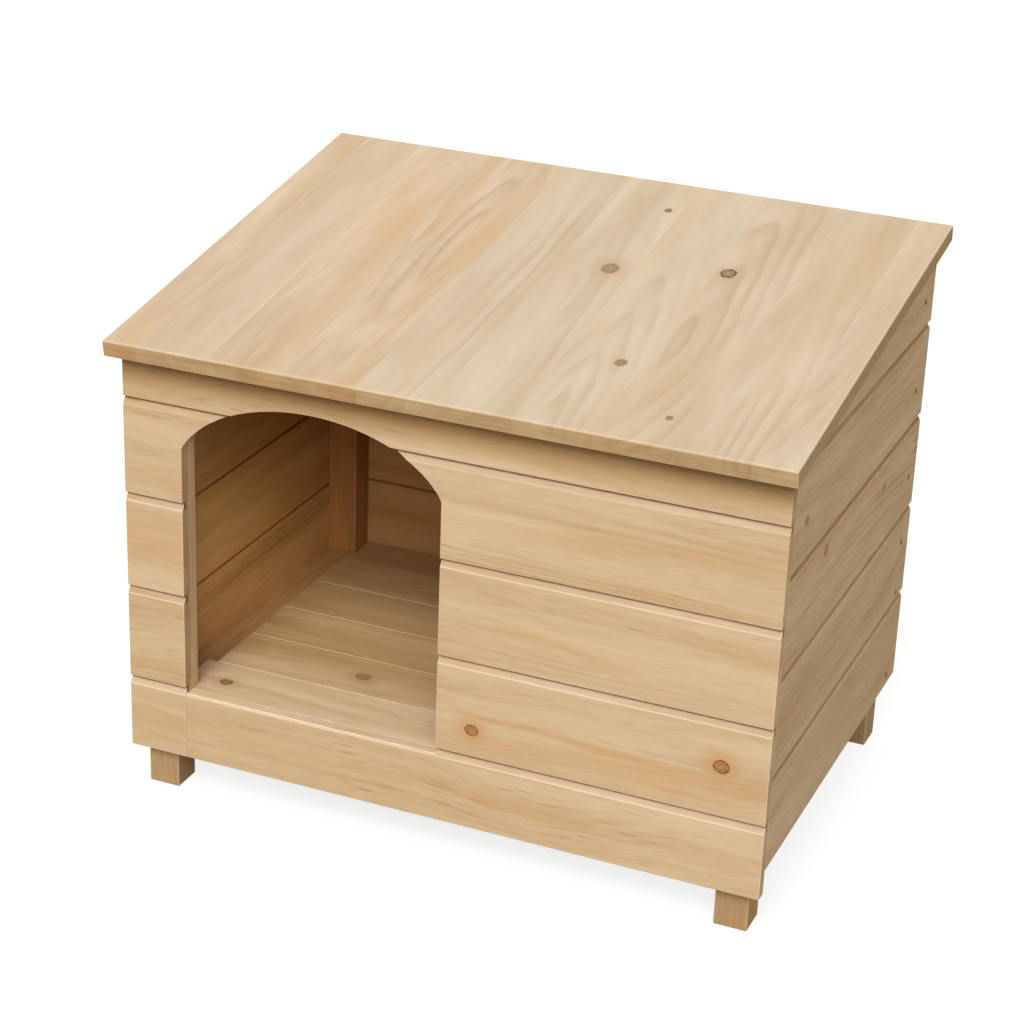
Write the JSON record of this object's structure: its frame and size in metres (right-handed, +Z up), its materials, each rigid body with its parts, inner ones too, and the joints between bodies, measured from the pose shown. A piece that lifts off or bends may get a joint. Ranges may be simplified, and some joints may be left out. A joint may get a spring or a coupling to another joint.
{
  "type": "dog house",
  "caption": "Pine dog house on corner feet with an arched doorway, slatted floor and a lean-to roof that lifts on rear hinges and a slotted stay.",
  "frame": {"origin": "on the ground, under the middle of the roof's outline", "axes": "+X along the front wall to the right as seen from the front, +Y from the front wall to the rear wall, +Z up"},
  "size_m": [0.82, 0.603, 0.6791],
  "materials": {
    "wall_pine": "planed natural pine",
    "roof_pine": "planed edge-glued pine panel",
    "frame_pine": "planed natural pine",
    "floor_pine": "planed natural pine",
    "hinge_steel": "zinc-plated, satin"
  },
  "bodies": {
    "house": {"door_stile_left": "frame_pine", "door_stile_right": "frame_pine", "floor_bearer_left": "frame_pine", "floor_bearer_middle": "frame_pine", "floor_bearer_right": "frame_pine", "floor_board_1": "floor_pine", "floor_board_2": "floor_pine", "floor_board_3": "floor_pine", "floor_board_4": "floor_pine", "floor_board_5": "floor_pine", "floor_board_6": "floor_pine", "floor_rail_left": "frame_pine", "floor_rail_right": "frame_pine", "front_corner_block": "wall_pine", "front_left_board_1": "wall_pine", "front_left_board_2": "wall_pine", "front_left_board_3": "wall_pine", "front_right_board_1": "wall_pine", "front_right_board_2": "wall_pine", "front_right_board_3": "wall_pine", "front_sill_board": "wall_pine", "front_top_board": "wall_pine", "hinge_pin_left": "hinge_steel", "hinge_pin_right": "hinge_steel", "hinge_wall_leaf_left": "hinge_steel", "hinge_wall_leaf_right": "hinge_steel", "left_board_1": "wall_pine", "left_board_2": "wall_pine", "left_board_3": "wall_pine", "left_board_4": "wall_pine", "left_board_5": "wall_pine", "post_front_left": "frame_pine", "post_front_right": "frame_pine", "post_rear_left": "frame_pine", "post_rear_right": "frame_pine", "rear_board_1": "wall_pine", "rear_board_2": "wall_pine", "rear_board_3": "wall_pine", "rear_board_4": "wall_pine", "rear_board_5": "wall_pine", "right_board_1": "wall_pine", "right_board_2": "wall_pine", "right_board_3": "wall_pine", "right_board_4": "wall_pine", "right_board_5": "wall_pine", "stay_wall_stud": "hinge_steel", "top_rail_front": "frame_pine", "top_rail_rear": "frame_pine"},
    "roof": {"roof_panel": "roof_pine", "roof_cleat_front": "frame_pine", "roof_cleat_rear": "frame_pine", "hinge_roof_leaf_left": "hinge_steel", "hinge_roof_leaf_right": "hinge_steel", "stay_roof_bracket": "hinge_steel", "stay_pivot_rivet": "hinge_steel"},
    "stay": {"stay_arm": "hinge_steel"}
  },
  "joints": [
    {"name": "roof_hinge", "type": "hinge", "parent": "house", "child": "roof", "pos_m": [0, 0.28079, 0.6519], "axis": [-1, 0, 0], "range_deg": [0, 75]},
    {"name": "stay_pivot", "type": "hinge", "parent": "roof", "child": "stay", "pos_m": [0.3746, 0.123, 0.61522], "axis": [-1, 0, 0], "range_deg": [-38, 0]}
  ],
  "couplings": [
    {"joint": "stay_pivot", "follows": "roof_hinge", "ratio": -0.5}
  ]
}
